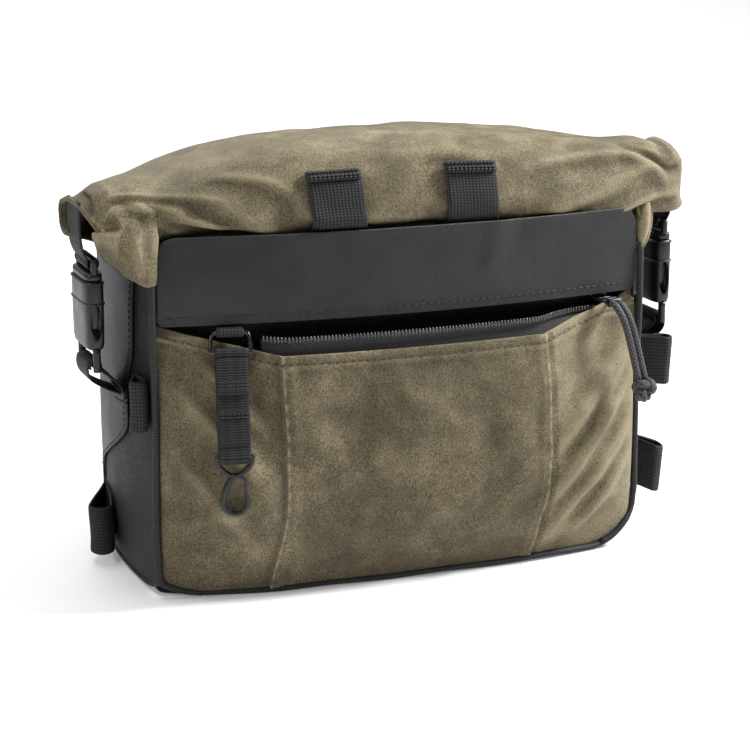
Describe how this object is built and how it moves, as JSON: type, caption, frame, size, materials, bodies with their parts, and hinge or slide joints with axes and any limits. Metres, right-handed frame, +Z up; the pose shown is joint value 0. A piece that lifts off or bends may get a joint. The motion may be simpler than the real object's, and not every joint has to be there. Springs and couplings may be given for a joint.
{
  "type": "saddle bag",
  "caption": "Roll-top saddle bag with a curved zip pocket, leather storm flap, side-release buckles, webbing loops and a leash hook.",
  "frame": {"origin": "middle of the base, on the surface that the bag stands on", "axes": "+X across the bag to the right seen from the front, +Y from the front to the back, +Z up"},
  "size_m": [0.314, 0.1318, 0.21],
  "materials": {
    "waxed_canvas": "waxed canvas, mottled, pale at creases",
    "black_leather": "smooth satin",
    "black_nylon": "diagonal ribbed twill",
    "lining": "plain weave",
    "webbing": "ribbed nylon webbing",
    "binding": "plain woven tape",
    "zip_teeth": "gloss coil",
    "zip_metal": "black enamel",
    "cord": "braided",
    "buckle_plastic": "satin moulded",
    "ring_steel": "blackened wire",
    "stiffener": "plain sheet"
  },
  "bodies": {
    "bag": {"bottom_panel": "black_nylon", "base_board": "lining", "front_panel": "lining", "back_panel": "black_nylon", "left_side_panel": "black_nylon", "right_side_panel": "black_nylon", "pocket_centre_panel": "waxed_canvas", "pocket_left_panel": "waxed_canvas", "pocket_right_panel": "waxed_canvas", "front_collar": "waxed_canvas", "back_collar": "waxed_canvas", "left_collar": "waxed_canvas", "right_collar": "waxed_canvas", "upper_zip_tape": "binding", "upper_zip_teeth": "zip_teeth", "lower_zip_tape": "binding", "lower_zip_teeth": "zip_teeth", "left_side_patch": "black_leather", "right_side_patch": "black_leather", "left_upper_loop": "webbing", "right_upper_loop": "webbing", "left_lower_loop": "webbing", "right_lower_loop": "webbing", "left_buckle_socket": "buckle_plastic", "right_buckle_socket": "buckle_plastic", "left_socket_strap": "webbing", "right_socket_strap": "webbing", "left_piping": "binding", "right_piping": "binding", "left_mount_webbing": "webbing", "right_mount_webbing": "webbing", "leash_tab": "webbing"},
    "flap": {"flap": "black_leather"},
    "zip_slider": {"zip_slider": "zip_metal"},
    "zip_pull": {"pull_clip": "zip_metal", "pull_cord_left": "cord", "pull_cord_right": "cord", "pull_knot": "cord"},
    "leash_ring": {"leash_ring": "ring_steel"},
    "leash": {"leash_webbing": "webbing"},
    "leash_hook": {"leash_hook": "buckle_plastic"},
    "hook_gate": {"hook_gate": "buckle_plastic"},
    "roll_top": {"roll_canvas": "waxed_canvas", "roll_stiffener": "stiffener", "left_daisy_loop": "webbing", "right_daisy_loop": "webbing"},
    "left_strap": {"left_roll_strap": "webbing", "left_buckle_plug": "buckle_plastic"},
    "right_strap": {"right_roll_strap": "webbing", "right_buckle_plug": "buckle_plastic"},
    "left_front_button": {"left_front_arm": "buckle_plastic"},
    "left_rear_button": {"left_rear_arm": "buckle_plastic"},
    "right_front_button": {"right_front_arm": "buckle_plastic"},
    "right_rear_button": {"right_rear_arm": "buckle_plastic"}
  },
  "joints": [
    {"name": "roll_top_open", "type": "hinge", "parent": "bag", "child": "roll_top", "pos_m": [0, 0.042, 0.194], "axis": [-1, 0, 0], "range_deg": [0, 110]},
    {"name": "left_strap_swing", "type": "hinge", "parent": "roll_top", "child": "left_strap", "pos_m": [-0.151, -0.02, 0.184], "axis": [-1, 0, 0], "range_deg": [-110, 0]},
    {"name": "right_strap_swing", "type": "hinge", "parent": "roll_top", "child": "right_strap", "pos_m": [0.151, -0.02, 0.184], "axis": [-1, 0, 0], "range_deg": [-110, 0]},
    {"name": "flap_lift", "type": "hinge", "parent": "bag", "child": "flap", "pos_m": [0, -0.058, 0.1635], "axis": [-1, 0, 0], "range_deg": [0, 75]},
    {"name": "zip_slide", "type": "hinge", "parent": "bag", "child": "zip_slider", "pos_m": [0, 0.53275, 0.1335], "axis": [0, 0, -1], "range_deg": [0, 16.7]},
    {"name": "pull_swing", "type": "hinge", "parent": "zip_slider", "child": "zip_pull", "pos_m": [0.10528, -0.05794, 0.1271], "axis": [-0.9845, -0.1755, 0], "range_deg": [0, 70]},
    {"name": "ring_swing", "type": "hinge", "parent": "bag", "child": "leash_ring", "pos_m": [-0.08929, -0.05867, 0.1269], "axis": [-0.9781, 0.2079, 0], "range_deg": [0, 45]},
    {"name": "leash_swing", "type": "hinge", "parent": "leash_ring", "child": "leash", "pos_m": [-0.08992, -0.06161, 0.1182], "axis": [-0.9781, 0.2079, 0], "range_deg": [0, 60]},
    {"name": "hook_swing", "type": "hinge", "parent": "leash", "child": "leash_hook", "pos_m": [-0.09262, -0.07433, 0.0715], "axis": [-0.9781, 0.2079, 0], "range_deg": [0, 60]},
    {"name": "hook_gate_open", "type": "hinge", "parent": "leash_hook", "child": "hook_gate", "pos_m": [-0.08812, -0.07528, 0.062], "axis": [0.2079, 0.9781, 0], "range_deg": [0, 14], "stiffness_Nm_per_rad": 0.02},
    {"name": "left_front_press", "type": "hinge", "parent": "left_strap", "child": "left_front_button", "pos_m": [-0.146, -0.0317, 0.1504], "axis": [1, 0, 0], "range_deg": [0, 7], "stiffness_Nm_per_rad": 0.1},
    {"name": "left_rear_press", "type": "hinge", "parent": "left_strap", "child": "left_rear_button", "pos_m": [-0.146, -0.0083, 0.1504], "axis": [-1, 0, 0], "range_deg": [0, 7], "stiffness_Nm_per_rad": 0.1},
    {"name": "right_front_press", "type": "hinge", "parent": "right_strap", "child": "right_front_button", "pos_m": [0.146, -0.0317, 0.1504], "axis": [1, 0, 0], "range_deg": [0, 7], "stiffness_Nm_per_rad": 0.1},
    {"name": "right_rear_press", "type": "hinge", "parent": "right_strap", "child": "right_rear_button", "pos_m": [0.146, -0.0083, 0.1504], "axis": [-1, 0, 0], "range_deg": [0, 7], "stiffness_Nm_per_rad": 0.1}
  ],
  "couplings": [
    {"joint": "left_strap_swing", "follows": "roll_top_open", "ratio": -1},
    {"joint": "right_strap_swing", "follows": "roll_top_open", "ratio": -1},
    {"joint": "left_rear_press", "follows": "left_front_press", "ratio": 1},
    {"joint": "right_rear_press", "follows": "right_front_press", "ratio": 1}
  ]
}
